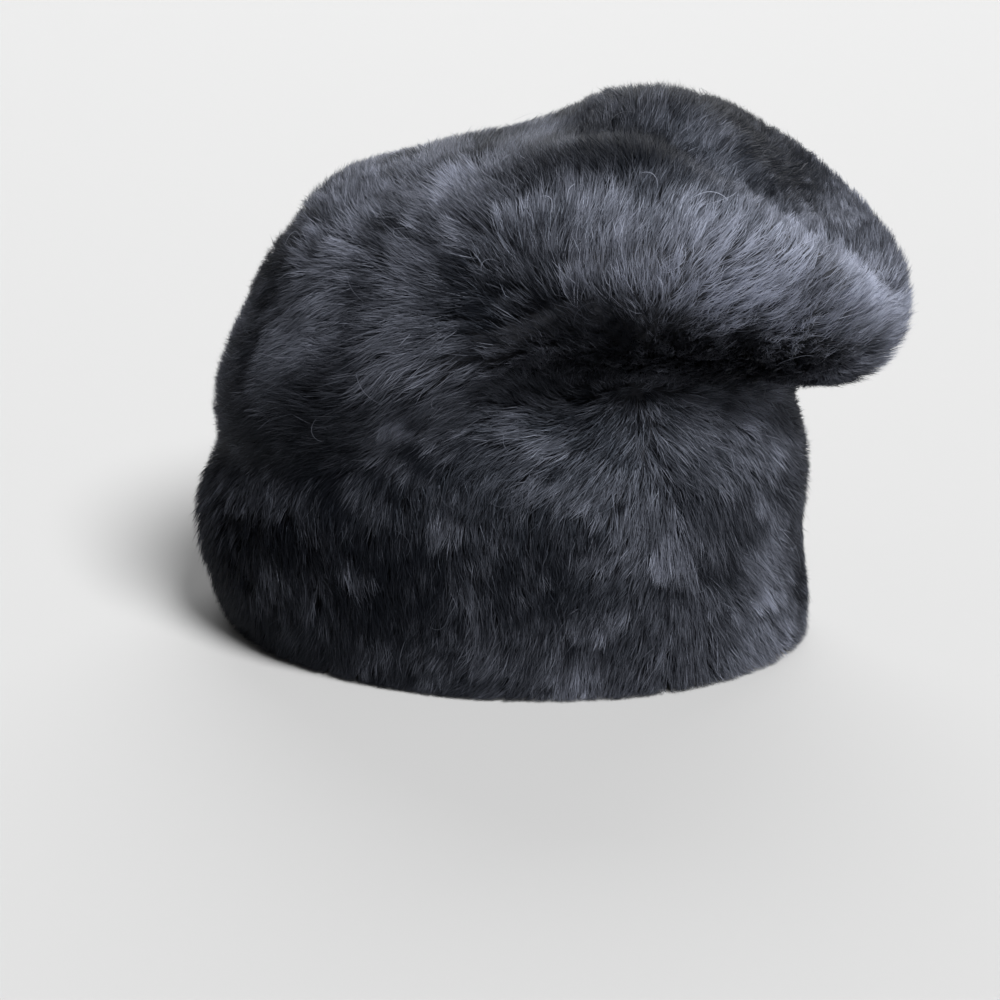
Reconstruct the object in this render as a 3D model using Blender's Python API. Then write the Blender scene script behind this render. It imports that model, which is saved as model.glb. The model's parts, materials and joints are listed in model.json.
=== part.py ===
"""Slouchy fur beanie: a head band and a bag-like crown, both hollow, sewn together at a crease.

The crown is bigger than the head, folds at the dimple on the near side and hangs over to +X.
The outer faces carry the pile as staggered locks that are part of the solid.
"""
import math

import bpy
import numpy as np

MM = 0.001
SEED = 11

# One row per ring from the rim up to the closed end, in mm. A ring is an oval through a left and
# a right point of the side view; half_width is its half size in Y, and lift bends its near and
# far sides up. The straight head band ends at ring SEAM, where the crown begins.
RING_COLUMNS = ("left_x", "left_z", "right_x", "right_z", "half_width", "lift")
RINGS = [
    (-105,   0, 111,   0, 85,  0),
    (-114,  18, 113,  22, 89,  0),
    (-118,  38, 111,  46, 90,  2),
    (-115,  56, 112,  74, 89,  8),
    (-109,  70, 106,  97, 82, 14),
    (-110,  81, 118, 101, 88, 19),
    (-104, 104, 131, 105, 97, 21),
    (-93,  130, 140, 113, 98, 21),
    (-78,  154, 144, 124, 95, 17),
    (-56,  170, 145, 135, 90, 13),
    (-17,  183, 143, 144, 81,  9),
    (23,   196, 138, 151, 68,  6),
    (48,   202, 131, 156, 53,  3),
    (70,   195, 122, 159, 37,  1),
    (87,   184, 112, 163, 20,  1),
    (97,   176, 102, 170,  4,  0),
]
SEAM = 4
LIFT_SKEW = 1.4

# Folds pressed into the bag: how wide and how deep in mm, then the points the fold runs through.
FOLD_COLUMNS = ("width", "depth", "path")
FOLDS = [
    (15,  8, ((19, -90, 112), (22, -95, 128), (14, -95, 148))),
    (13,  7, ((-104, -20, 130), (-60, -74, 141), (14, -95, 148))),
    (14, 13, ((-2, 22, 192), (34, -24, 192), (72, -32, 186), (112, -34, 166), (134, -20, 148))),
    (12,  6, ((-44, -62, 172), (-36, -52, 178))),
    (16,  7, ((-60, 78, 128), (10, 97, 140), (70, 88, 132))),
]

# Wall of hide and pile, and the free gap between the two sewn pieces, in mm.
WALL = 11.0
GAP = 0.3

# Locks of the pile: two mesh columns wide, in rows that are shifted by one column each time.
COLUMNS = 72
BAND_LOCK_ROWS = 5
CROWN_LOCK_ROWS = 9
LOCK_HEIGHT = 3.2
LOCK_POINT = 0.24
LOCK_PROFILE = (("root", 0.10), ("belly", 0.75), ("tip", 1.0))
LOCK_VALLEY = 0.12

FUR_COLOR = (0.035, 0.038, 0.048, 1.0)


def rings_at(v):
    """The ring table at any height v, as a smooth curve through its rows."""
    rows = np.asarray(RINGS, float)
    last = len(rows) - 1
    v = np.clip(v, 0, last - 1e-9)
    i = np.floor(v).astype(int)
    f = (v - i)[..., None]
    p0 = rows[np.clip(i - 1, 0, last)]
    p1 = rows[i]
    p2 = rows[np.clip(i + 1, 0, last)]
    p3 = rows[np.clip(i + 2, 0, last)]
    square = (2 * p0 - 5 * p1 + 4 * p2 - p3) * f ** 2
    cube = (3 * p1 - p0 - 3 * p2 + p3) * f ** 3
    return 0.5 * (2 * p1 + (p2 - p0) * f + square + cube)


def bag(u, v):
    """The unfolded form. u goes round: 0 at +X, a quarter turn at the near side, half at -X."""
    left_x, left_z, right_x, right_z, half_width, lift = np.moveaxis(rings_at(v), -1, 0)
    half_x = (right_x - left_x) / 2
    half_z = (right_z - left_z) / 2
    length = np.hypot(half_x, half_z) + 1e-9
    up = lift * np.sin(u) ** 2 * (1 + LIFT_SKEW * np.cos(u))
    x = (left_x + right_x) / 2 + half_x * np.cos(u) - half_z / length * up
    z = (left_z + right_z) / 2 + half_z * np.cos(u) + half_x / length * up
    return np.stack([x, -half_width * np.sin(u), z], -1)


def outward(u, v, reach):
    """Outward directions of the bag, evened out over reach rings to each side."""
    top = len(RINGS) - 1
    along_u = bag(u + 0.02, v) - bag(u - 0.02, v)
    along_v = bag(u, np.minimum(v + reach, top)) - bag(u, np.maximum(v - reach, 0))
    normal = np.cross(along_v, along_u)
    return normal / (np.linalg.norm(normal, axis=-1, keepdims=True) + 1e-12)


def fold_depth(points):
    """How far each point is pressed in by the folds near it."""
    depth_sum = np.zeros(points.shape[:-1])
    for width, depth, path in FOLDS:
        near = np.zeros(points.shape[:-1])
        for start, end in zip(path[:-1], path[1:]):
            start = np.asarray(start, float)
            step = np.asarray(end, float) - start
            share = np.clip((points - start) @ step / (step @ step), 0, 1)
            offset = points - start - share[..., None] * step
            near += (np.linalg.norm(offset, axis=-1) + 1.0) ** -8
        distance = near ** (-1 / 8)
        depth_sum += depth * np.exp(-(distance / width) ** 2)
    return depth_sum


def skin(u, v, height):
    """Points at a height over the folded bag: locks stand up, the inner wall lies below."""
    points = bag(u, v)
    inside = height < -1.0
    normal = np.where(inside[..., None], outward(u, v, 0.8), outward(u, v, 0.05))
    move = height - fold_depth(points)
    return points + normal * move[..., None]


def lock_rings(v_root, v_tip, rows, rng, phase):
    """Rings of (u, v, height) from the roots of the highest locks to the tips of the lowest."""
    column = np.arange(COLUMNS)
    step = (v_root - v_tip) / rows
    start = np.full(COLUMNS, v_root)
    rings = []
    for row in range(rows):
        centre = (column + row + phase) % 2
        size = 1 + 0.3 * rng.uniform(-1, 1, COLUMNS)
        level = v_root - step * (row + 1)
        tip = level + step * LOCK_POINT * (0.35 - centre * size)
        tip = np.maximum(tip, v_tip + 0.02)
        shape = np.where(centre == 1, size, LOCK_VALLEY)
        lean = rng.uniform(-0.12, 0.28, COLUMNS) * centre
        for order, (_, share) in enumerate(LOCK_PROFILE):
            part = order / 2
            v = start + (tip - start) * part
            u = (column + lean * part) * 2 * math.pi / COLUMNS
            rings.append([u, v, LOCK_HEIGHT * share * shape])
        start = tip - 0.10 * step
    return rings


def fade(rings, v_end, span):
    """Locks lie down towards the end of the piece at v_end."""
    for ring in rings:
        ring[2] = ring[2] * np.clip(np.abs(ring[1] - v_end) / span, 0, 1)


class Shell:
    """Collects the points and faces of one closed piece."""

    def __init__(self):
        self.points = []
        self.faces = []

    def loop(self, points):
        first = len(self.points)
        self.points.extend(np.asarray(points).tolist())
        return list(range(first, first + len(points)))

    def bridge(self, lower, upper):
        """Faces between two loops, the upper one with as many points, half or twice as many."""
        count_low = len(lower)
        count_up = len(upper)
        if count_low == count_up:
            for i in range(count_low):
                j = (i + 1) % count_low
                self.faces.append((lower[j], lower[i], upper[i]))
                self.faces.append((lower[j], upper[i], upper[j]))
        elif count_low == 2 * count_up:
            for i in range(count_up):
                j = (i + 1) % count_up
                a, b, c = lower[2 * i], lower[2 * i + 1], lower[(2 * i + 2) % count_low]
                self.faces.append((b, a, upper[i]))
                self.faces.append((b, upper[i], upper[j]))
                self.faces.append((c, b, upper[j]))
        else:
            for i in range(count_low):
                j = (i + 1) % count_low
                a, b, c = upper[2 * i], upper[2 * i + 1], upper[(2 * i + 2) % count_up]
                self.faces.append((lower[i], a, b))
                self.faces.append((lower[j], lower[i], b))
                self.faces.append((lower[j], b, c))

    def cap(self, loop, tip):
        """Closes a loop with one point."""
        apex = self.loop([tip])[0]
        for i in range(len(loop)):
            self.faces.append((loop[(i + 1) % len(loop)], loop[i], apex))

    def chain(self, loops):
        for lower, upper in zip(loops[:-1], loops[1:]):
            self.bridge(lower, upper)


def inner_loop(shell, v, count):
    u = np.arange(count) * 2 * math.pi / count
    flat = np.full(count, float(v))
    return shell.loop(skin(u, flat, np.full(count, -WALL)))


def make_band():
    """From the flat rim up to the seam."""
    rng = np.random.default_rng(SEED)
    rings = lock_rings(SEAM, 0.10, BAND_LOCK_ROWS, rng, 0)
    fade(rings, SEAM, 0.5)
    shell = Shell()
    outer = []
    for ring in reversed(rings):
        points = skin(*ring)
        points[:, 2] = np.maximum(points[:, 2], 0.6)
        outer.append(shell.loop(points))
    even = np.arange(COLUMNS) * 2 * math.pi / COLUMNS
    rim = skin(even, np.zeros(COLUMNS), np.full(COLUMNS, 1.2))
    rim[:, 2] = 0.0
    top = skin(even, np.full(COLUMNS, float(SEAM)), np.zeros(COLUMNS))
    outer = [shell.loop(rim)] + outer[:-1] + [shell.loop(top - [0, 0, GAP / 2])]
    inner = [inner_loop(shell, v, COLUMNS // 2) for v in np.linspace(SEAM, 0, 7)]
    for index in inner[-1]:
        shell.points[index][2] = 0.0
    for index in inner[0]:
        shell.points[index][2] -= GAP / 2
    shell.chain(outer + inner + [outer[0]])
    return shell


def make_crown():
    """From the seam to the closed end of the bag."""
    rng = np.random.default_rng(SEED + 1)
    end = len(RINGS) - 1
    rings = lock_rings(end - 1.3, SEAM + 0.35, CROWN_LOCK_ROWS, rng, 1)
    fade(rings, end - 1.3, 1.2)
    fade(rings, SEAM, 0.9)
    shell = Shell()
    even = np.arange(COLUMNS) * 2 * math.pi / COLUMNS
    seam = skin(even, np.full(COLUMNS, float(SEAM)), np.zeros(COLUMNS))
    outer = [shell.loop(seam + [0, 0, GAP / 2])]
    outer += [shell.loop(skin(*ring)) for ring in reversed(rings)]
    for count, v in ((COLUMNS // 2, end - 0.85), (COLUMNS // 4, end - 0.4), (COLUMNS // 4, end)):
        u = np.arange(count) * 2 * math.pi / count
        outer.append(shell.loop(skin(u, np.full(count, float(v)), np.zeros(count))))
    shell.chain(outer)
    tip = np.mean([shell.points[i] for i in outer[-1]], axis=0)
    shell.cap(outer[-1], tip)

    heights = [4, 4.5, 5.1, 6, 7, 8, 9, 10, 11, 12, 13]
    inner = [inner_loop(shell, v, COLUMNS // 2) for v in heights]
    for index in inner[0]:
        shell.points[index][2] += GAP / 2
    inner.append(inner_loop(shell, 14, COLUMNS // 4))
    inner_tip = np.mean([shell.points[i] for i in inner[-1]], axis=0)
    inside = Shell()
    inside.chain(inner)
    turned = [(a, c, b) for a, b, c in inside.faces]
    shell.faces.extend(turned)
    apex = shell.loop([inner_tip])[0]
    for i in range(len(inner[-1])):
        shell.faces.append((inner[-1][i], inner[-1][(i + 1) % len(inner[-1])], apex))
    shell.bridge(inner[0], outer[0])
    return shell


def add_object(name, shell, shift, roughness):
    points = (np.asarray(shell.points) - shift) * MM
    mesh = bpy.data.meshes.new(name)
    mesh.from_pydata(points.tolist(), [], shell.faces)
    mesh.update()
    fur = bpy.data.materials.new(name + "_pile")
    fur.use_nodes = True
    bsdf = fur.node_tree.nodes["Principled BSDF"]
    bsdf.inputs["Base Color"].default_value = FUR_COLOR
    bsdf.inputs["Roughness"].default_value = roughness
    mesh.materials.append(fur)
    piece = bpy.data.objects.new(name, mesh)
    bpy.context.scene.collection.objects.link(piece)
    return piece


for old in list(bpy.data.objects):
    bpy.data.objects.remove(old, do_unlink=True)

band = make_band()
crown = make_crown()

# The origin goes to the middle of the whole hat's box, on the floor.
everything = np.asarray(band.points + crown.points)
middle = (everything.min(axis=0) + everything.max(axis=0)) / 2
SHIFT = np.array([middle[0], middle[1], 0.0])

add_object("fur_band", band, SHIFT, 0.92)
add_object("fur_crown", crown, SHIFT, 0.90)
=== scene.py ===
"""Looks of the slouchy fur beanie: hide, underfur and pile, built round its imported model."""

import json
import math

import bpy
import numpy as np
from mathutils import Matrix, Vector
from mathutils.bvhtree import BVHTree
from mathutils.kdtree import KDTree

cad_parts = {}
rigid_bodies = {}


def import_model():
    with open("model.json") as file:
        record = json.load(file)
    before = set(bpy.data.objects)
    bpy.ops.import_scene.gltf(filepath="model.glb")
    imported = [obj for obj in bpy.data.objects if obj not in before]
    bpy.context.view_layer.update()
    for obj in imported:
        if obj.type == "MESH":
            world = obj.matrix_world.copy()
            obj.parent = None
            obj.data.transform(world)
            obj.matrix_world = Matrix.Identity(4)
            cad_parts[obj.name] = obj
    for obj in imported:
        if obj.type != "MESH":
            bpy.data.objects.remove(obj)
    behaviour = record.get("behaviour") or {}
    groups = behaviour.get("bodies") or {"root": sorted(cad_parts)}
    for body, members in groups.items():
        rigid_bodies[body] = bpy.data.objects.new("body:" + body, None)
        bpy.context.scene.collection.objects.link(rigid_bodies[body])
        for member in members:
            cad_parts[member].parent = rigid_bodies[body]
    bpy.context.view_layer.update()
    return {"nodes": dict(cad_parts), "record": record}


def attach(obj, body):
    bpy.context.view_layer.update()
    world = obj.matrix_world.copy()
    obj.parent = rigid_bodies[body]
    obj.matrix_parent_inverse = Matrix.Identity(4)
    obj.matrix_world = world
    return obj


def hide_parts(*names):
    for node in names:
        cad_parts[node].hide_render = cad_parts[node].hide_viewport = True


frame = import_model()

# The view. The hat is looked at from about a metre away, from a little right of its middle and
# a little above its rim. It comes first because the coat is charted in this view.
MM = 0.001
VIEW_AZIMUTH = math.radians(12)
VIEW_ELEVATION = math.radians(16.5)
VIEW_DISTANCE = 1.0
PHOTO_WIDTH = 1000
PHOTO_MM_PER_PIXEL = 0.375
SENSOR_WIDTH = 36
HAT_MIDDLE = Vector((-13.8, 1.8, 80)) * MM
HAT_MIDDLE_PIXEL = (509, 414)

toward_camera = Vector((
    math.sin(VIEW_AZIMUTH) * math.cos(VIEW_ELEVATION),
    -math.cos(VIEW_AZIMUTH) * math.cos(VIEW_ELEVATION),
    math.sin(VIEW_ELEVATION),
))
view_right = Vector((math.cos(VIEW_AZIMUTH), math.sin(VIEW_AZIMUTH), 0))
view_up = toward_camera.cross(view_right)
off_centre_x = (HAT_MIDDLE_PIXEL[0] - PHOTO_WIDTH / 2) * PHOTO_MM_PER_PIXEL * MM
off_centre_y = (PHOTO_WIDTH / 2 - HAT_MIDDLE_PIXEL[1]) * PHOTO_MM_PER_PIXEL * MM
camera_place = HAT_MIDDLE + toward_camera * VIEW_DISTANCE
aim = HAT_MIDDLE - view_right * off_centre_x - view_up * off_centre_y
bpy.ops.object.camera_add(location=camera_place)
camera = bpy.context.object
camera.rotation_euler = (camera_place - aim).to_track_quat("Z", "Y").to_euler()
camera.data.sensor_width = SENSOR_WIDTH
camera.data.lens = SENSOR_WIDTH * VIEW_DISTANCE / (PHOTO_WIDTH * PHOTO_MM_PER_PIXEL * MM)
camera.data.dof.use_dof = False
bpy.context.scene.camera = camera
bpy.context.view_layer.update()
camera_axes = np.array(camera.matrix_world.to_3x3()).T


# The hide. Two panels of dyed skin, sewn together at the crease, with the hair side out and
# the suede side in. They take the inner walls of the solids, smoothed out.
PANELS = ("band", "crown")
HIDE_THICKNESS = 1.6 * MM
HIDE_EDGE_HEIGHT = 5 * MM
SEAM_GAP = 0.6 * MM
SEAM_STEP = 0.06 * MM
GRAZING = 0.1
FLATTEST_FOLD = math.radians(60)
FUR_HEIGHTS = (5 * MM, 20 * MM)
HEIGHT_SMOOTHING = 6
SHEEN_ROUGHNESS = 0.45
SUEDE_DARK = (0.022, 0.020, 0.021, 1)
SUEDE_PALE = (0.062, 0.058, 0.060, 1)
SUEDE_BLOTCHES = 38.0
SUEDE_NAP = 1400.0
SUEDE_PORES = 260.0
SUEDE_RELIEF = 0.4 * MM


class Shade:
    """One socket of a material, so that shader maths is written as sums and products."""

    def __init__(self, tree, socket):
        self.tree = tree
        self.socket = socket

    def node(self, kind, settings, *values):
        """A new node, from its type, its settings, and the values or links of its sockets."""
        made = self.tree.nodes.new(kind)
        for name, value in settings.items():
            setattr(made, name, value)
        for place, value in zip(made.inputs, values):
            if isinstance(value, Shade):
                self.tree.links.new(value.socket, place)
            elif value is not None:
                place.default_value = value
        return Shade(self.tree, made.outputs[0])

    def output(self, name):
        """Another output of the node that this value comes from."""
        return Shade(self.tree, self.socket.node.outputs[name])

    def maths(self, operation, *values):
        """What a Math node makes of these values."""
        return self.node("ShaderNodeMath", {"operation": operation}, *values)

    def __add__(self, other):
        return self.maths("ADD", self, other)

    def __radd__(self, other):
        return self.maths("ADD", other, self)

    def __mul__(self, other):
        return self.maths("MULTIPLY", self, other)

    def __rmul__(self, other):
        return self.maths("MULTIPLY", other, self)

    def __pow__(self, other):
        return self.maths("POWER", self, other)

    def mix(self, low, high):
        """A colour between low and high, by this value. The two colours are sockets 6 and 7."""
        skipped = (None,) * 5
        made = self.node("ShaderNodeMix", {"data_type": "RGBA"}, self, *skipped, low, high)
        colour = [s for s in made.socket.node.outputs if s.type == "RGBA"][0]
        return Shade(self.tree, colour)

    def blend(self, low, high):
        """A surface between the shaders low and high, by this value."""
        return self.node("ShaderNodeMixShader", {}, self, low, high)

    def noise(self, scale, detail=3.0, roughness=0.55):
        """Cloudy noise at this place, from 0 to 1, with scale patches to the metre."""
        return self.node("ShaderNodeTexNoise", {}, self, None, scale, detail, roughness)

    def into(self, name, shader):
        """Links this value to a socket of a shader."""
        self.tree.links.new(self.socket, shader.inputs[name])


def start_material(name, roughness, specular, sheen=0.0):
    """A new material with its shader, and the place on the object to build patterns on."""
    material = bpy.data.materials.new(name)
    material.use_nodes = True
    tree = material.node_tree
    shader = tree.nodes["Principled BSDF"]
    shader.inputs["Roughness"].default_value = roughness
    shader.inputs["Specular IOR Level"].default_value = specular
    shader.inputs["Sheen Weight"].default_value = sheen
    shader.inputs["Sheen Roughness"].default_value = SHEEN_ROUGHNESS
    place = Shade(tree, None).node("ShaderNodeTexCoord", {}).output("Object")
    return material, shader, place


def suede_material():
    """The flesh side of the hide: dark grey suede with a short nap and faint blotches."""
    material, shader, place = start_material("suede", roughness=0.88, specular=0.15, sheen=0.25)
    blotch = place.noise(SUEDE_BLOTCHES, 4.0)
    nap = place.noise(SUEDE_NAP, 2.0)
    tone = blotch * 0.7 + nap * 0.3
    tone.mix(SUEDE_DARK, SUEDE_PALE).into("Base Color", shader)
    height = nap * 0.6 + place.noise(SUEDE_PORES)
    bump = place.node("ShaderNodeBump", {}, 0.5, SUEDE_RELIEF, None, height)
    bump.into("Normal", shader)
    return material


def select_only(*objects):
    """Selects these objects and nothing else, with the first one active."""
    bpy.ops.object.select_all(action="DESELECT")
    for one in objects:
        one.select_set(True)
    bpy.context.view_layer.objects.active = objects[0]


def apply_modifier(piece, kind, **settings):
    """Adds one modifier to a piece and applies it."""
    select_only(piece)
    modifier = piece.modifiers.new(kind.title(), kind)
    for name, value in settings.items():
        setattr(modifier, name, value)
    bpy.ops.object.modifier_apply(modifier=modifier.name)


suede = suede_material()
linings = (suede, suede.copy())
shells = []
for number, panel in enumerate(PANELS):
    solid = frame["nodes"]["fur_" + panel].data
    shell = bpy.data.objects.new("shell_" + panel, solid.copy())
    bpy.context.scene.collection.objects.link(shell)
    shell.data.materials.clear()
    for lining in linings:
        shell.data.materials.append(lining)
    for face in shell.data.polygons:
        face.material_index = number
    shells.append(shell)
select_only(*shells)
bpy.ops.object.join()
wall = bpy.context.object
wall.name = "inner_wall"

# The inner wall is what can be seen from the clear spaces inside, seam lips left out.
eyes = []
for opening in frame["record"]["physics"]["openings"]:
    low, high = opening["box_m"]
    eyes.append((Vector(low) + Vector(high)) / 2)
sight = BVHTree.FromPolygons(
    [v.co for v in wall.data.vertices],
    [list(f.vertices) for f in wall.data.polygons],
)
inner = set()
for face in wall.data.polygons:
    for eye in eyes:
        ray = (face.center - eye).normalized()
        if sight.ray_cast(eye, ray)[2] == face.index and abs(ray.dot(face.normal)) > GRAZING:
            inner.add(face.index)
bpy.context.tool_settings.mesh_select_mode = (False, False, True)
bpy.ops.object.mode_set(mode="EDIT")
bpy.ops.mesh.select_all(action="DESELECT")
bpy.ops.object.mode_set(mode="OBJECT")
for face in wall.data.polygons:
    face.select = face.index not in inner
bpy.ops.object.mode_set(mode="EDIT")
bpy.ops.mesh.delete(type="FACE")
bpy.ops.mesh.select_all(action="SELECT")
bpy.ops.mesh.remove_doubles(threshold=SEAM_GAP)
bpy.ops.mesh.fill_holes(sides=8)
bpy.ops.mesh.tris_convert_to_quads(
    face_threshold=FLATTEST_FOLD, shape_threshold=FLATTEST_FOLD, materials=True
)
bpy.ops.mesh.flip_normals()
bpy.ops.object.mode_set(mode="OBJECT")
apply_modifier(wall, "SUBSURF", levels=2, render_levels=2)
bpy.ops.object.mode_set(mode="EDIT")
bpy.ops.mesh.select_all(action="SELECT")
bpy.ops.mesh.bisect(
    plane_co=(0, 0, HIDE_EDGE_HEIGHT), plane_no=(0, 0, 1), clear_inner=True
)
bpy.ops.object.mode_set(mode="OBJECT")
bpy.ops.object.shade_smooth()

# The hair side is kept as arrays, for the roots of the pile.
hair_side = wall.data
hair_side.calc_loop_triangles()
skin_points = np.empty(len(hair_side.vertices) * 3)
hair_side.vertices.foreach_get("co", skin_points)
skin_points = skin_points.reshape(-1, 3)
skin_normals = np.array([v.vector for v in hair_side.vertex_normals])
skin_triangles = np.array([t.vertices for t in hair_side.loop_triangles])
skin_panels = np.array([t.material_index for t in hair_side.loop_triangles])
skin_edges = np.array([e.vertices for e in hair_side.edges])

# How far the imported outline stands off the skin, straight out at each of its points. Where the
# other panel begins within the seam's gap, the way goes on through it.
solids = [frame["nodes"]["fur_" + panel].data for panel in PANELS]
outline = BVHTree.FromPolygons(
    [v.co for solid in solids for v in solid.vertices],
    [
        [corner + first for corner in f.vertices]
        for solid, first in zip(solids, (0, len(solids[0].vertices)))
        for f in solid.polygons
    ],
)
skin_heights = np.empty(len(skin_points))
for number, (point, normal) in enumerate(zip(skin_points, skin_normals)):
    start, way = Vector(point), Vector(normal)
    reach = HIDE_THICKNESS
    while True:
        place, _, _, further = outline.ray_cast(start + way * reach, way, FUR_HEIGHTS[1])
        if place is None:
            break
        reach += further + SEAM_STEP
        beyond = outline.ray_cast(start + way * reach, way, SEAM_GAP)
        if beyond[0] is None:
            break
        reach += beyond[3] + SEAM_STEP
    skin_heights[number] = reach - HIDE_THICKNESS


def spread_out(values, rounds):
    """Values at the skin's points, each averaged with its neighbours' a number of times."""
    parts = np.bincount(skin_edges.reshape(-1), minlength=len(skin_points))
    for _ in range(rounds):
        total = np.zeros_like(values)
        for a, b in (skin_edges.T, skin_edges.T[::-1]):
            np.add.at(total, a, values[b])
        values = (values + (total.T / parts).T) / 2
    return values


skin_heights = spread_out(np.clip(skin_heights, *FUR_HEIGHTS), HEIGHT_SMOOTHING)

fur_height = wall.vertex_groups.new(name="fur_height")
for number, height in enumerate(skin_heights):
    fur_height.add([number], height / FUR_HEIGHTS[1], "REPLACE")

select_only(wall)
bpy.ops.object.mode_set(mode="EDIT")
bpy.ops.mesh.separate(type="MATERIAL")
bpy.ops.object.mode_set(mode="OBJECT")

# The hair side of each panel is also kept as it is, for the underfur to start from.
skins = {}
for hide in [one for one in bpy.data.objects if one.name.startswith(wall.name)]:
    panel = PANELS[linings.index(hide.data.materials[0])]
    hide.name = "hide_" + panel
    hide.data.materials.clear()
    hide.data.materials.append(suede)
    skins[panel] = hide.copy()
    skins[panel].data = hide.data.copy()
    apply_modifier(hide, "SOLIDIFY", thickness=HIDE_THICKNESS, offset=1)
    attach(hide, "root")
    panel + "_fur"
    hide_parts("fur_" + panel)


# The underfur. A short dense wool covers the skin and shows only deep between the locks, so
# each panel carries a low dark layer that the long hairs stand in.
UNDERFUR_SHARE = 0.5
WOOL_DARK = (0.006, 0.006, 0.008, 1)
WOOL_PALE = (0.030, 0.032, 0.038, 1)
WOOL_TUFTS = 420.0
WOOL_MATTING = 90.0
WOOL_RELIEF = 1.5 * MM


def underfur_material():
    """Matted wool: nearly black, with fine tufts."""
    material, shader, place = start_material("underfur", roughness=0.95, specular=0.05, sheen=0.1)
    tuft = place.noise(WOOL_TUFTS, 4.0)
    matting = place.noise(WOOL_MATTING)
    tone = tuft * 0.6 + matting * 0.4
    tone.mix(WOOL_DARK, WOOL_PALE).into("Base Color", shader)
    bump = place.node("ShaderNodeBump", {}, 0.8, WOOL_RELIEF, None, tone)
    bump.into("Normal", shader)
    return material


wool = underfur_material()
for panel, layer in skins.items():
    layer.name = panel + "_underfur"
    bpy.context.scene.collection.objects.link(layer)
    layer.data.materials.clear()
    layer.data.materials.append(wool)
    apply_modifier(layer, "DISPLACE", strength=HIDE_THICKNESS, mid_level=0)
    apply_modifier(
        layer,
        "SOLIDIFY",
        thickness=FUR_HEIGHTS[1] * UNDERFUR_SHARE,
        offset=1,
        vertex_group="fur_height",
    )
    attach(layer, "root")
    panel + "_fur"
    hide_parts("fur_" + panel)


# The pile. Long tapering hairs grow out of the skin, gather in pointed locks and lie over each
# other along the nap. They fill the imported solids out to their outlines.
PILE_SEED = 7
HAIRS_PER_SQUARE_METRE = 2.35e6
HAIR_WIDTH = 0.235 * MM
LOCK_SPACING = 11 * MM
WISP_SPACING = 2.6 * MM
PATCHES = 380
PATCH_REACH = 13 * MM
LOWEST_TIP = 0.6 * MM
PILE_ROOT_SHARE = 0.45
PILE_OVER = 1.0 * MM
UV_STRIP = 3 / 1024

# How the hair lies: photo x, photo y, lean to the right, lean down, lie from 0 upright to 1 flat
NAP = (
    # The round left part of the crown
    (330, 190, -0.25, -0.95, 0.70),
    (450, 190, 0.00, -1.00, 0.60),
    (380, 200, 0.05, -1.00, 0.70),
    (520, 200, 0.50, -0.85, 0.60),
    (400, 225, -0.50, -0.85, 0.70),
    (300, 240, -0.60, -0.80, 0.80),
    (470, 240, -0.50, -0.80, 0.70),
    (300, 300, -0.85, -0.50, 0.90),
    (260, 330, -0.85, -0.55, 0.90),
    (330, 330, -0.90, -0.42, 0.90),
    (400, 330, -0.95, -0.30, 0.90),
    (450, 350, -0.97, 0.20, 0.90),
    (300, 380, -0.95, -0.30, 1.00),
    (380, 390, -1.00, -0.05, 1.00),
    (240, 400, -0.70, -0.60, 0.90),
    (450, 410, -1.00, 0.10, 1.00),
    (215, 420, -0.20, -0.95, 0.90),
    (520, 420, -0.75, -0.60, 0.90),
    # The overhanging part and the fold under it
    (650, 100, 0.45, -0.85, 0.40),
    (740, 120, -0.60, -0.70, 0.40),
    (640, 190, 0.55, -0.83, 0.40),
    (700, 200, 0.50, -0.87, 0.40),
    (780, 230, 0.45, -0.90, 0.40),
    (560, 240, 0.40, -0.90, 0.60),
    (590, 250, 0.35, -0.93, 0.50),
    (850, 250, 0.35, -0.93, 0.40),
    (700, 260, 0.60, -0.80, 0.40),
    (890, 290, 0.50, -0.85, 0.50),
    (800, 310, 0.70, -0.70, 0.50),
    (600, 320, -0.20, -0.98, 0.70),
    (860, 330, 0.75, -0.65, 0.50),
    (640, 335, 0.10, -1.00, 0.75),
    (540, 340, -0.60, -0.80, 0.80),
    (780, 345, 0.60, -0.80, 0.60),
    (690, 350, 0.35, -0.93, 0.75),
    (640, 362, 0.05, -1.00, 0.80),
    (730, 362, 0.40, -0.90, 0.80),
    (820, 378, 0.60, -0.80, 0.75),
    (560, 380, -0.45, -0.90, 0.80),
    # The band
    (750, 400, 0.35, 0.93, 0.85),
    (700, 402, 0.20, 0.98, 0.85),
    (795, 405, 0.45, 0.90, 0.85),
    (640, 408, 0.00, 1.00, 0.85),
    (580, 420, -0.20, 0.98, 0.85),
    (760, 440, 0.60, 0.80, 0.80),
    (530, 445, -0.30, 0.95, 0.85),
    (700, 450, 0.35, 0.93, 0.80),
    (520, 460, -0.60, 0.80, 0.80),
    (560, 470, -0.30, 0.95, 0.80),
    (430, 480, 0.50, 0.85, 0.90),
    (620, 480, -0.10, 1.00, 0.80),
    (790, 480, 0.55, 0.83, 0.80),
    (215, 500, -0.30, 0.95, 0.80),
    (470, 500, 0.15, 1.00, 0.90),
    (260, 520, 0.00, 1.00, 0.80),
    (400, 520, 0.30, 0.95, 0.90),
    (640, 540, -0.40, 0.90, 0.80),
    (720, 540, 0.35, 0.93, 0.80),
    (300, 560, 0.00, 1.00, 0.80),
    (350, 560, 0.00, 1.00, 0.80),
    (500, 560, 0.10, 1.00, 0.80),
    (560, 560, -0.10, 1.00, 0.80),
    (780, 560, 0.45, 0.90, 0.80),
    (640, 590, -0.50, 0.85, 0.80),
    (290, 610, -0.65, 0.75, 0.80),
    (780, 620, 0.40, 0.90, 0.80),
    (330, 640, -0.70, 0.70, 0.80),
    (700, 640, 0.20, 0.97, 0.80),
    (420, 650, -0.60, 0.80, 0.80),
    (620, 650, -0.30, 0.95, 0.80),
    (480, 670, -0.50, 0.85, 0.80),
)

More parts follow.
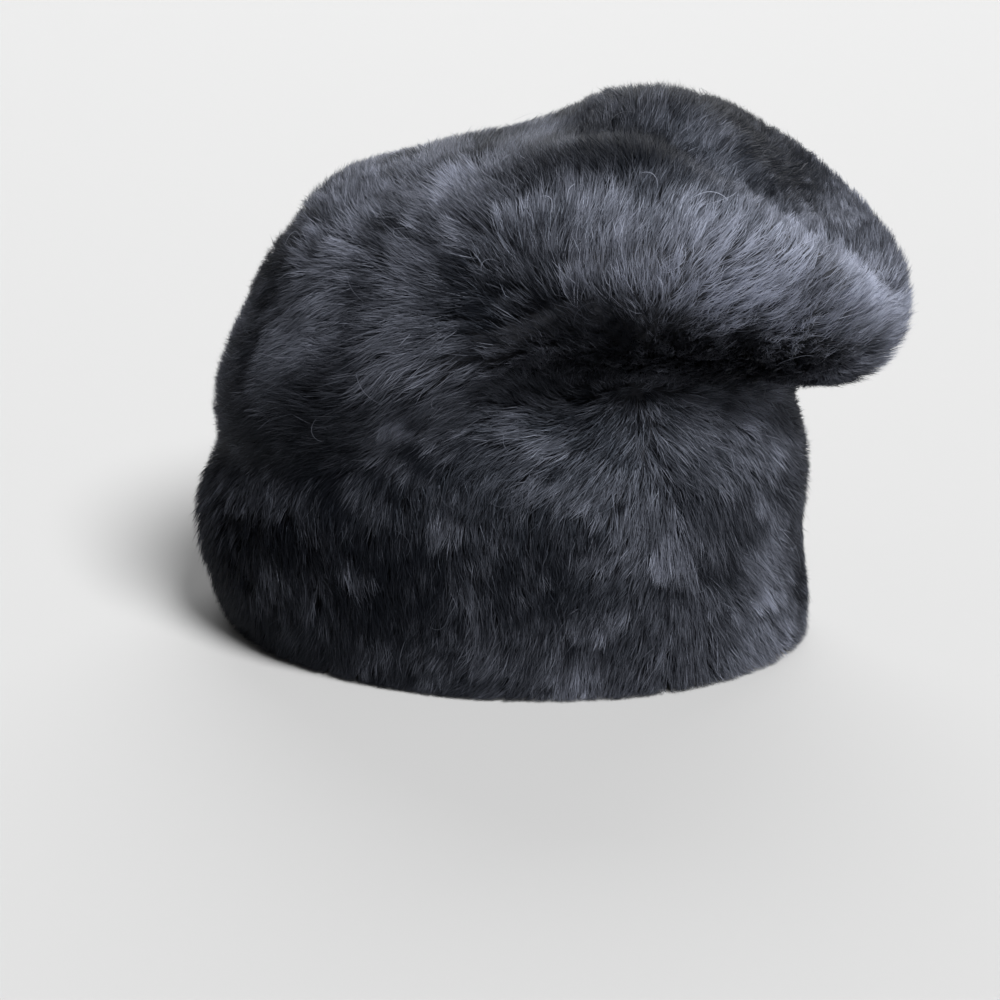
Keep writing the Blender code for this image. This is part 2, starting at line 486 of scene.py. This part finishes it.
# Painted light and shade in the hair's colour: photo x, photo y, paleness from 0 to 1. It is
# painted shade, dark in the folds, under the overhang and on the left of the band, and painted
# light, pale where the overhanging part of the crown is lit.
PAINTED_LIGHT_AND_SHADE = (
    # The round left part of the crown
    (525, 140, 0.30),
    (330, 160, 0.50),
    (440, 160, 0.70),
    (500, 172, 0.36),
    (400, 180, 0.68),
    (470, 195, 0.60),
    (290, 200, 0.66),
    (405, 215, 0.34),
    (520, 215, 0.56),
    (350, 220, 0.62),
    (340, 238, 0.76),
    (538, 245, 0.42),
    (400, 255, 0.62),
    (250, 265, 0.34),
    (340, 275, 0.42),
    (430, 300, 0.42),
    (470, 305, 0.16),
    (395, 318, 0.40),
    (260, 330, 0.52),
    (350, 330, 0.42),
    (300, 345, 0.56),
    (420, 345, 0.46),
    (520, 345, 0.46),
    (395, 378, 0.42),
    (280, 385, 0.42),
    (330, 385, 0.46),
    (440, 390, 0.56),
    (500, 400, 0.56),
    (360, 425, 0.44),
    # The overhanging part and the fold under it
    (640, 100, 0.24),
    (700, 105, 0.10),
    (770, 125, 0.10),
    (595, 132, 0.20),
    (640, 138, 0.04),
    (690, 142, 0.03),
    (740, 152, 0.04),
    (550, 165, 0.36),
    (650, 175, 0.30),
    (795, 180, 0.12),
    (710, 185, 0.26),
    (600, 205, 0.70),
    (845, 205, 0.55),
    (690, 208, 0.72),
    (830, 225, 0.60),
    (740, 235, 0.98),
    (560, 240, 0.84),
    (650, 240, 0.92),
    (700, 240, 0.96),
    (810, 250, 0.88),
    (885, 250, 0.68),
    (560, 270, 0.84),
    (640, 272, 0.98),
    (720, 283, 0.98),
    (870, 290, 0.76),
    (640, 295, 0.86),
    (800, 298, 0.94),
    (700, 304, 0.96),
    (755, 316, 0.98),
    (565, 318, 0.14),
    (815, 325, 0.98),
    (620, 330, 0.08),
    (870, 340, 0.70),
    (690, 342, 0.06),
    (750, 354, 0.10),
    (805, 366, 0.24),
    (850, 368, 0.45),
    # The band
    (560, 385, 0.26),
    (650, 385, 0.44),
    (672, 408, 0.12),
    (620, 415, 0.42),
    (710, 420, 0.52),
    (780, 420, 0.66),
    (540, 450, 0.20),
    (465, 462, 0.14),
    (580, 465, 0.26),
    (300, 470, 0.12),
    (640, 480, 0.32),
    (255, 485, 0.05),
    (500, 490, 0.20),
    (220, 500, 0.16),
    (760, 500, 0.38),
    (430, 520, 0.20),
    (560, 520, 0.38),
    (280, 540, 0.06),
    (672, 548, 0.22),
    (700, 560, 0.29),
    (400, 580, 0.10),
    (620, 580, 0.42),
    (480, 600, 0.24),
    (770, 600, 0.42),
    (585, 620, 0.20),
    (330, 630, 0.14),
    (640, 640, 0.48),
    (760, 650, 0.66),
    (420, 660, 0.36),
    (480, 668, 0.50),
    (585, 668, 0.66),
)

# How deep the coat is: photo x, photo y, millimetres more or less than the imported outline
DEPTH = (
    # Along the outline, from the left round to the right
    (312, 185, 5.0),
    (345, 165, 2.0),
    (410, 150, -1.5),
    (500, 130, 2.5),
    (560, 115, 2.0),
    (620, 92, 3.0),
    (670, 85, 4.5),
    (710, 95, 4.0),
    (755, 110, 0.0),
    (785, 130, -3.0),
    (825, 155, -6.0),
    (862, 190, -7.0),
    (892, 230, -5.0),
    (905, 275, -2.0),
    (905, 330, 0.0),
    # Inside the outline
    (250, 300, 0.0),
    (215, 420, 0.0),
    (300, 260, 1.0),
    (400, 230, 0.0),
    (500, 200, 1.0),
    (610, 170, 1.5),
    (690, 160, 1.0),
    (770, 200, -1.5),
    (830, 240, -2.5),
    (700, 270, 0.0),
    (840, 310, 0.0),
    (600, 300, 0.0),
    (450, 330, 0.0),
    (300, 500, 0.0),
    (500, 550, 0.0),
    (700, 520, 0.0),
    (812, 450, -2.5),
    (812, 530, -3.0),
    (800, 600, 0.0),
)

# Reach of a chart's row, in pixels. Past the skyline the near side's chart gives way to its
# mirror image, and between the two the hair leans along the ridge.
NAP_BLEND = 25
PAINTED_LIGHT_AND_SHADE_BLEND = 22
DEPTH_BLEND = 20
TURN_OVER = (-0.45, -0.05)
RIDGE_LEAN = (1.6, 0, 0)
NAP_SMOOTHING = 14
COAT_HEIGHTS = (5 * MM, 26 * MM)
PAINTED_LIGHT_AND_SHADE_SCATTER = 2.5 * MM

# Degrees off upright at a hair's root and tip, where the coat stands and where it lies flat.
# A ribbon's steps run from root to tip, and its tone is the dye's at TONE_STEP.
UPRIGHT_ANGLES = (18, 70)
FLAT_ANGLES = (42, 82)
LEAST_BEND = 0.05
LEAST_FACING = 0.3
HAIR_STEPS = np.array((0, 0.35, 0.55, 0.7, 1))
HAIR_THICKNESS = np.array((0.8, 1, 1, 0.75, 0))
TONE_STEP = 3
HAIR_WAVE = 0.7 * MM
HAIR_ROLL = math.radians(45)
WIDTH_SPREAD = 0.2
GUARD_SHARE = 0.12
GUARD_WIDTH = 0.85
GUARD_STEPS = [0, 1, 3, 4]
DOWN_WIDTH = 1.1
DOWN_STEPS = [0, 2, 4]

# How much patches, locks, wisps and hairs differ from their neighbours: turn in degrees
PATCH_TURN = 18
PATCH_LIE = 0.16
LOCK_SPREAD = {"turn": 14, "lie": 0.12, "height": 0.08}
WISP_SPREAD = {"turn": 12, "lie": 0.08, "height": 0.06}
HAIR_SPREAD = {"turn": 16, "lie": 0.10, "height": 0.10}
PATCH_TONE = 0.12
LOCK_TONE = 0.09
WISP_TONE = 0.08
HAIR_TONE = 0.105
TONE_LIMITS = (0.01, 0.99)

# How closely hairs follow the lock or wisp they stand in, and how far its tips draw together
LOCK_FOLLOW = 0.5
LOCK_PULL = 0.2
WISP_FOLLOW = 0.5
WISP_PULL = 0.38
LOOSE_SHARE = 0.12
LOOSE_FOLLOW = 0.2
LOOSE_PULL = 0.1
PULL_POWER = 1.3

# The dyed hair itself. Light passes through the fine hairs as well as off them.
# The dark and pale ends carry the chart's painted shade and painted light as well as the dye's
# own tones.
DARK_DYE_AND_PAINTED_SHADE = (0.0016, 0.0019, 0.0036, 1)
PALE_DYE_AND_PAINTED_LIGHT = (0.40, 0.425, 0.515, 1)
DYE_POWER = 2.1
# Darker towards the root: partly the hair's own paler tips, partly painted shade deep in the
# coat.
ROOT_PALENESS = 0.45
TIP_POWER = 0.6
LIGHT_THROUGH = 0.6
SHEEN_COLOUR = (0.70, 0.80, 1.0, 1)
TINY = 1e-12

draw = np.random.default_rng(PILE_SEED)


def unit(vectors):
    """Vectors brought to a length of one."""
    length = np.linalg.norm(vectors, axis=-1, keepdims=True)
    return vectors / np.maximum(length, TINY)


def along_skin(vectors, normals):
    """Unit directions with what points out of the skin taken away."""
    outward = (vectors * normals).sum(axis=1, keepdims=True)
    return unit(vectors - outward * normals)


def read_chart(chart, blend, points, mirror):
    """A chart's values at these points, in the view or its mirror image."""
    seen = (points * (1, mirror, 1) - np.array(camera_place)) @ camera_axes.T
    scale = camera.data.lens / SENSOR_WIDTH * PHOTO_WIDTH
    photo_x = PHOTO_WIDTH / 2 + seen[:, 0] / -seen[:, 2] * scale
    photo_y = PHOTO_WIDTH / 2 - seen[:, 1] / -seen[:, 2] * scale
    chart = np.array(chart)
    off_x, off_y = photo_x[:, None] - chart[:, 0], photo_y[:, None] - chart[:, 1]
    weight = 1 / (off_x ** 2 + off_y ** 2 + blend ** 2) ** 2
    return weight @ chart[:, 2:] / weight.sum(axis=1, keepdims=True)


def nearness(normals):
    """1 on the near side, 0 past the skyline, where the charts turn into their mirror images."""
    facing = normals @ np.array(toward_camera)
    return np.clip((facing - TURN_OVER[0]) / (TURN_OVER[1] - TURN_OVER[0]), 0, 1)[:, None]


def charted(chart, blend, points, normals):
    """One value a point, from a chart and its mirror image."""
    near = nearness(normals)
    near_value = read_chart(chart, blend, points, 1)
    far_value = read_chart(chart, blend, points, -1)
    return (near_value * near + far_value * (1 - near))[:, 0]


def nap_seen(points, normals, mirror):
    """Lean along the skin and lie, as the nap chart gives them on one side."""
    nap = read_chart(NAP, NAP_BLEND, points, mirror)
    right, up, back = camera_axes * (1, mirror, 1)
    flat = nap[:, :1] * right - nap[:, 1:2] * up
    rise = -(flat * normals).sum(axis=1) / np.maximum(normals @ back, LEAST_FACING)
    return along_skin(flat + rise[:, None] * back, normals), nap[:, 2]


def nap_at(points, normals):
    """Lean and lie. Between the two sides the hair lies along the ridge."""
    near = nearness(normals)
    near_lean, near_lie = nap_seen(points, normals, 1)
    far_lean, far_lie = nap_seen(points, normals, -1)
    between = 4 * near * (1 - near)
    lean = near_lean * near + far_lean * (1 - near) + between * np.array(RIDGE_LEAN)
    return along_skin(lean, normals), near_lie * near[:, 0] + far_lie * (1 - near[:, 0])


def bends(lie):
    """The angles from upright, in radians, at which hairs leave the skin and end."""
    start = UPRIGHT_ANGLES[0] + (FLAT_ANGLES[0] - UPRIGHT_ANGLES[0]) * lie
    end = UPRIGHT_ANGLES[1] + (FLAT_ANGLES[1] - UPRIGHT_ANGLES[1]) * lie
    return np.radians(start), np.maximum(np.radians(end - start), LEAST_BEND)


def grow(normals, lean, height, lie):
    """Curved hairs from their roots: they start out of the skin and bend over along the nap."""
    start, bend = bends(lie)
    length = height * bend / (np.sin(start + bend) - np.sin(start))
    angle = start[:, None] + bend[:, None] * HAIR_STEPS
    up = (np.sin(angle) - np.sin(start)[:, None]) / bend[:, None] * length[:, None]
    along = (np.cos(start)[:, None] - np.cos(angle)) / bend[:, None] * length[:, None]
    return up[:, :, None] * normals[:, None] + along[:, :, None] * lean[:, None]


def turned(lean, normals, angle):
    """Leans turned along the skin by an angle each."""
    side = np.cross(normals, lean)
    return lean * np.cos(angle)[:, None] + side * np.sin(angle)[:, None]


def nearest(points, others):
    """The number of the nearest other point to each point."""
    tree = KDTree(len(others))
    for number, other in enumerate(others):
        tree.insert(other, number)
    tree.balance()
    return np.array([tree.find(point)[1] for point in points])


coat_change = charted(DEPTH, DEPTH_BLEND, skin_points, skin_normals) * MM
coat_heights = np.clip(skin_heights + coat_change, *COAT_HEIGHTS)
skin_lean, skin_lie = nap_at(skin_points, skin_normals)
skin_lean = along_skin(spread_out(skin_lean, NAP_SMOOTHING), skin_normals)
corners = skin_points[skin_triangles]
skin_areas = np.linalg.norm(
    np.cross(corners[:, 1] - corners[:, 0], corners[:, 2] - corners[:, 0]), axis=1
) / 2
area = skin_areas.sum()


def scatter(count):
    """Roots spread evenly by area: their places, normals, pile heights, panels and nap."""
    chosen = draw.choice(len(skin_areas), size=count, p=skin_areas / area)
    u, v = draw.random((2, count))
    outside = u + v > 1
    u[outside], v[outside] = 1 - u[outside], 1 - v[outside]
    weights = np.stack((1 - u - v, u, v), axis=1)
    found = skin_triangles[chosen]
    normals = unit((skin_normals[found] * weights[:, :, None]).sum(axis=1))
    points = (skin_points[found] * weights[:, :, None]).sum(axis=1)
    heights = (coat_heights[found] * weights).sum(axis=1)
    sunk = HIDE_THICKNESS + heights * PILE_ROOT_SHARE
    points += normals * sunk[:, None]
    heights = heights * (1 - PILE_ROOT_SHARE) + PILE_OVER
    lean = along_skin((skin_lean[found] * weights[:, :, None]).sum(axis=1), normals)
    lie = (skin_lie[found] * weights).sum(axis=1)
    return points, normals, heights, skin_panels[chosen], lean, lie


def gathered(roots, curves, guide_roots, guide_curves, follow, pull):
    """Curves that partly follow their guide, and whose tips draw in towards its tip."""
    drawn_in = (pull[:, None] * HAIR_STEPS ** PULL_POWER)[:, :, None]
    offset = (roots - guide_roots)[:, None] * drawn_in
    follow = follow[:, None, None]
    return curves * (1 - follow) + guide_curves * follow - offset


# Locks, then the wisps in them, then the hairs in each wisp. Broad patches vary all three.
patch_places = scatter(PATCHES)[0]
patch_values = draw.normal(0, 1, (PATCHES, 3))


def patchy(points):
    """Slow changes of lean, lie and tone over the skin."""
    apart = ((points[:, None] - patch_places) ** 2).sum(axis=2)
    weight = np.exp(-apart / (2 * PATCH_REACH ** 2))
    return weight @ patch_values / np.sqrt((weight ** 2).sum(axis=1, keepdims=True))


def guides(count, spread):
    """The middle hairs of locks or wisps: roots, curves, lean, lie and tone."""
    roots, normals, heights, _, lean, lie = scatter(count)
    patch = patchy(roots)
    angle = np.radians(PATCH_TURN * patch[:, 0] + draw.normal(0, spread["turn"], count))
    lean = turned(lean, normals, angle)
    lie = lie + PATCH_LIE * patch[:, 1] + draw.normal(0, spread["lie"], count)
    heights = heights * np.exp(draw.normal(0, spread["height"], count))
    curves = grow(normals, lean, heights, lie)
    # The tone is the chart's painted light and shade, read near the hair's tip, with broad
    # patches of real tone on top.
    painted_tone_end = roots + curves[:, TONE_STEP] + draw.normal(0, PAINTED_LIGHT_AND_SHADE_SCATTER, (count, 3))
    tone = charted(PAINTED_LIGHT_AND_SHADE, PAINTED_LIGHT_AND_SHADE_BLEND, painted_tone_end, normals) + PATCH_TONE * patch[:, 2]
    return roots, curves, lean, lie, tone


lock_roots, lock_curves, _, _, _ = guides(int(area / LOCK_SPACING ** 2), LOCK_SPREAD)
wisp_roots, wisp_curves, wisp_lean, wisp_lie, wisp_tone = guides(
    int(area / WISP_SPACING ** 2), WISP_SPREAD
)
lock = nearest(wisp_roots, lock_roots)
every = np.ones(len(wisp_roots))
wisp_curves = gathered(
    wisp_roots, wisp_curves, lock_roots[lock], lock_curves[lock],
    LOCK_FOLLOW * every, LOCK_PULL * every,
)
roots, normals, heights, panels, _, _ = scatter(int(area * HAIRS_PER_SQUARE_METRE))
count = len(roots)
wisp = nearest(roots, wisp_roots)
lean = turned(
    along_skin(wisp_lean[wisp], normals),
    normals,
    draw.normal(0, math.radians(HAIR_SPREAD["turn"]), count),
)
lie = wisp_lie[wisp] + draw.normal(0, HAIR_SPREAD["lie"], count)
heights *= np.exp(draw.normal(0, HAIR_SPREAD["height"], count))
loose = draw.random(count) < LOOSE_SHARE
curves = gathered(
    roots, grow(normals, lean, heights, lie), wisp_roots[wisp], wisp_curves[wisp],
    np.where(loose, LOOSE_FOLLOW, WISP_FOLLOW), np.where(loose, LOOSE_PULL, WISP_PULL),
)
wave = draw.normal(0, HAIR_WAVE, count)[:, None] * 4 * HAIR_STEPS * (1 - HAIR_STEPS)
hairs = roots[:, None] + curves + wave[:, :, None] * np.cross(normals, lean)[:, None]

# Hairs that would touch the floor lie over just above it.
drop = roots[:, 2] - hairs[:, :, 2].min(axis=1)
room = roots[:, 2] - LOWEST_TIP
squeeze = np.where(drop > room, room / np.maximum(drop, TINY), 1)
hairs[:, :, 2] = roots[:, 2:] + (hairs[:, :, 2] - roots[:, 2:]) * squeeze[:, None]

# Guard hairs are thin, bend at one more place and stand among the softer down hairs.
guard = draw.random(count) < GUARD_SHARE
lock_tone = draw.normal(0, LOCK_TONE, len(lock_roots))[lock]
tone = (wisp_tone + lock_tone + draw.normal(0, WISP_TONE, len(wisp_roots)))[wisp]
tone = np.clip(tone + draw.normal(0, HAIR_TONE, count), *TONE_LIMITS)
roll = draw.normal(0, HAIR_ROLL, count)
width = HAIR_WIDTH * np.exp(draw.normal(0, WIDTH_SPREAD, count))
width *= np.where(guard, GUARD_WIDTH, DOWN_WIDTH)


def pile_material():
    """Hair from blue-black to slate grey, hair by hair, with painted light and shade. It is
    darker at the root, partly its own colour and partly painted shade.
    """
    material, shader, place = start_material("pile", roughness=0.48, specular=0.4)
    shader.inputs["Specular Tint"].default_value = SHEEN_COLOUR
    strand = place.node("ShaderNodeUVMap", {"uv_map": "OFBake"})
    split = strand.node("ShaderNodeSeparateXYZ", {}, strand)
    hair_tone, along = split.output("X"), split.output("Y")
    # Darker towards the root: partly the hair's own paler tips, partly painted shade deep in the
    # coat.
    toward_tip = ROOT_PALENESS + (1 - ROOT_PALENESS) * along ** TIP_POWER
    paleness = hair_tone ** DYE_POWER * toward_tip
    paleness.mix(DARK_DYE_AND_PAINTED_SHADE, PALE_DYE_AND_PAINTED_LIGHT).into("Base Color", shader)
    deep = place.node("ShaderNodeBsdfTranslucent", {}, DARK_DYE_AND_PAINTED_SHADE)
    painted_tone_end = place.node("ShaderNodeBsdfTranslucent", {}, PALE_DYE_AND_PAINTED_LIGHT)
    lit_through = paleness.blend(deep, painted_tone_end)
    outside = Shade(place.tree, shader.outputs[0])
    both = place.node("ShaderNodeMixShader", {}, LIGHT_THROUGH, outside, lit_through)
    both.into("Surface", place.tree.nodes["Material Output"])
    return material


def ribbons(path, outward, width, roll, tone, steps, thickness):
    """Hairs as flat ribbons along their paths: points, corners, sizes, UVs and soft normals."""
    count, turns = path.shape[:2]
    ahead = unit(np.gradient(path, axis=1))
    outward = np.repeat(outward[:, None], turns, axis=1)
    side = unit(np.cross(ahead, outward))
    face = np.cross(side, ahead)
    angle = roll[:, None, None]
    side, face = side * np.cos(angle) + face * np.sin(angle), (
        face * np.cos(angle) - side * np.sin(angle)
    )
    half = (width[:, None] * thickness)[:, :, None] / 2 * side
    pairs = np.stack((path - half, path + half), axis=2)[:, :-1].reshape(count, -1, 3)
    points = np.concatenate((pairs, path[:, -1:]), axis=1)
    soft = unit(face + outward)
    soft = np.concatenate((np.repeat(soft[:, :-1], 2, axis=1), soft[:, -1:]), axis=1)
    u = tone[:, None] + np.array((-0.5, 0.5) * (turns - 1) + (0,)) * UV_STRIP
    v = np.append(np.repeat(steps[:-1], 2), 1.0)
    uvs = np.stack((u, np.broadcast_to(v, u.shape)), axis=2)
    corners = []
    for first in range(0, 2 * (turns - 2), 2):
        corners += [first, first + 1, first + 3, first + 2]
    last = 2 * (turns - 2)
    corners += [last, last + 1, last + 2]
    sizes = [4] * (turns - 2) + [3]
    return points, np.array(corners), np.array(sizes), uvs, soft


pile_finish = pile_material()


def add_hairs(name, panel, *groups):
    """One piece of many ribbons, on its panel."""
    points, loops, sizes, uvs, soft = [], [], [], [], []
    start = 0
    for rows, corners, lengths, row_uvs, row_soft in groups:
        count, each = rows.shape[:2]
        points.append(rows.reshape(-1, 3))
        first = start + np.arange(count)[:, None] * each
        loops.append((first + corners).reshape(-1))
        sizes.append(np.tile(lengths, count))
        uvs.append(row_uvs[:, corners].reshape(-1, 2))
        soft.append(row_soft.reshape(-1, 3))
        start += count * each
    points, loops = np.concatenate(points), np.concatenate(loops)
    sizes, uvs, soft = np.concatenate(sizes), np.concatenate(uvs), np.concatenate(soft)
    mesh = bpy.data.meshes.new(name)
    mesh.vertices.add(len(points))
    mesh.vertices.foreach_set("co", points.astype(np.float32).reshape(-1))
    mesh.loops.add(len(loops))
    mesh.loops.foreach_set("vertex_index", loops.astype(np.int32))
    mesh.polygons.add(len(sizes))
    starts = np.concatenate(((0,), np.cumsum(sizes)[:-1]))
    mesh.polygons.foreach_set("loop_start", starts.astype(np.int32))
    mesh.uv_layers.new(name="OFBake")
    mesh.uv_layers["OFBake"].data.foreach_set("uv", uvs.astype(np.float32).reshape(-1))
    mesh.update(calc_edges=True)
    mesh.polygons.foreach_set("use_smooth", np.ones(len(sizes), dtype=bool))
    mesh.normals_split_custom_set_from_vertices(soft.astype(np.float32))
    mesh.materials.append(pile_finish)
    piece = bpy.data.objects.new(name, mesh)
    bpy.context.scene.collection.objects.link(piece)
    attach(piece, "root")
    panel + "_fur"
    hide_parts("fur_" + panel)


# The coat is cut into six pieces, by panel, by side and along the crown.
is_crown = panels == 1
near = roots[:, 1] < 0
crown_middle = np.median(roots[is_crown, 0])
right = roots[:, 0] > crown_middle
pile_parts = {
    "band_pile_near": ("band", ~is_crown & near),
    "band_pile_far": ("band", ~is_crown & ~near),
    "crown_pile_near_left": ("crown", is_crown & near & ~right),
    "crown_pile_near_right": ("crown", is_crown & near & right),
    "crown_pile_far_left": ("crown", is_crown & ~near & ~right),
    "crown_pile_far_right": ("crown", is_crown & ~near & right),
}
for name, (panel, chosen) in pile_parts.items():
    groups = []
    for kind, steps in ((guard, GUARD_STEPS), (~guard, DOWN_STEPS)):
        row = np.flatnonzero(chosen & kind)
        groups.append(ribbons(
            hairs[row][:, steps], normals[row], width[row], roll[row], tone[row],
            HAIR_STEPS[steps], HAIR_THICKNESS[steps],
        ))
    add_hairs(name, panel, *groups)


# The stray hairs. A few longer hairs have worked loose from the coat. They curl over it, held by
# their roots alone, and catch the light.
STRAYS = 110
STRAY_STEPS = np.linspace(0, 1, 11)
STRAY_THICKNESS = np.array((1, 1, 1, 1, 1, 1, 0.95, 0.9, 0.8, 0.6, 0))
STRAY_LENGTH = (8 * MM, 18 * MM)
STRAY_WIDTH = 0.2 * MM
STRAY_TURN = 0.5
STRAY_ROLL = 0.5
STRAY_CURL = (15, 150)
CURL_POWER = 1.5
STRAY_RISE = 1.2 * MM
STRAY_PALER = 0.22

stray_roots, stray_normals, stray_heights, stray_panels, stray_lean, _ = scatter(STRAYS)
# The strays take the chart's painted light and shade at their roots, and are drawn paler still.
stray_tone = charted(PAINTED_LIGHT_AND_SHADE, PAINTED_LIGHT_AND_SHADE_BLEND, stray_roots, stray_normals)
stray_tone = np.minimum(stray_tone + STRAY_PALER, TONE_LIMITS[1])
stray_lean = turned(stray_lean, stray_normals, draw.normal(0, STRAY_TURN, STRAYS))
stray_length = draw.uniform(*STRAY_LENGTH, STRAYS)
curl = np.radians(draw.uniform(*STRAY_CURL, STRAYS)) * draw.choice((-1, 1), STRAYS)
heading = curl[:, None] * STRAY_STEPS ** CURL_POWER
stride = (stray_length / (len(STRAY_STEPS) - 1))[:, None, None]
stray_side = np.cross(stray_normals, stray_lean)
stray_paths = np.cumsum(
    stride * (
        np.cos(heading)[:, :, None] * stray_lean[:, None]
        + np.sin(heading)[:, :, None] * stray_side[:, None]
    ),
    axis=1,
)
lift = stray_heights[:, None] + STRAY_RISE * np.sin(math.pi * STRAY_STEPS)
stray_paths += stray_roots[:, None] + lift[:, :, None] * stray_normals[:, None]
stray_paths[:, :, 2] = np.maximum(stray_paths[:, :, 2], LOWEST_TIP)
for number, panel in enumerate(PANELS):
    row = np.flatnonzero(stray_panels == number)
    add_hairs(panel + "_stray_hairs", panel, ribbons(
        stray_paths[row], stray_normals[row],
        np.full(len(row), STRAY_WIDTH), draw.normal(0, STRAY_ROLL, len(row)),
        stray_tone[row], STRAY_STEPS, STRAY_THICKNESS,
    ))


# The floor and the light. A pale floor and a soft sky, with one broad lamp from above, in front
# and to the right, and a softer one that lights the back.
FLOOR_SIZE = 60
FLOOR_COLOUR = (0.25, 0.25, 0.25, 1)
SKY_STRENGTH = 0.22
SUN_WAY = Vector((0.45, -0.45, 0.77))
SUN_SOFTNESS = math.radians(24)
SUN_STRENGTH = 9.5
FILL_WAY = Vector((-0.1, 0.85, 0.5))
FILL_SOFTNESS = math.radians(60)
FILL_STRENGTH = 3.0

bpy.ops.mesh.primitive_plane_add(size=FLOOR_SIZE)
floor = bpy.context.object
floor.name = "floor"
floor_finish, floor_shader, _ = start_material("floor", roughness=0.8, specular=0.2)
floor_shader.inputs["Base Color"].default_value = FLOOR_COLOUR
floor.data.materials.append(floor_finish)

world = bpy.context.scene.world or bpy.data.worlds.new("studio")
bpy.context.scene.world = world
world.use_nodes = True
world.node_tree.nodes["Background"].inputs["Color"].default_value = (1, 1, 1, 1)
world.node_tree.nodes["Background"].inputs["Strength"].default_value = SKY_STRENGTH
for way, softness, strength in (
    (SUN_WAY, SUN_SOFTNESS, SUN_STRENGTH),
    (FILL_WAY, FILL_SOFTNESS, FILL_STRENGTH),
):
    bpy.ops.object.light_add(type="SUN", location=way * 2)
    lamp = bpy.context.object
    lamp.data.angle = softness
    lamp.data.energy = strength
    lamp.rotation_euler = way.to_track_quat("Z", "Y").to_euler()
bpy.context.scene.view_settings.view_transform = "Standard"
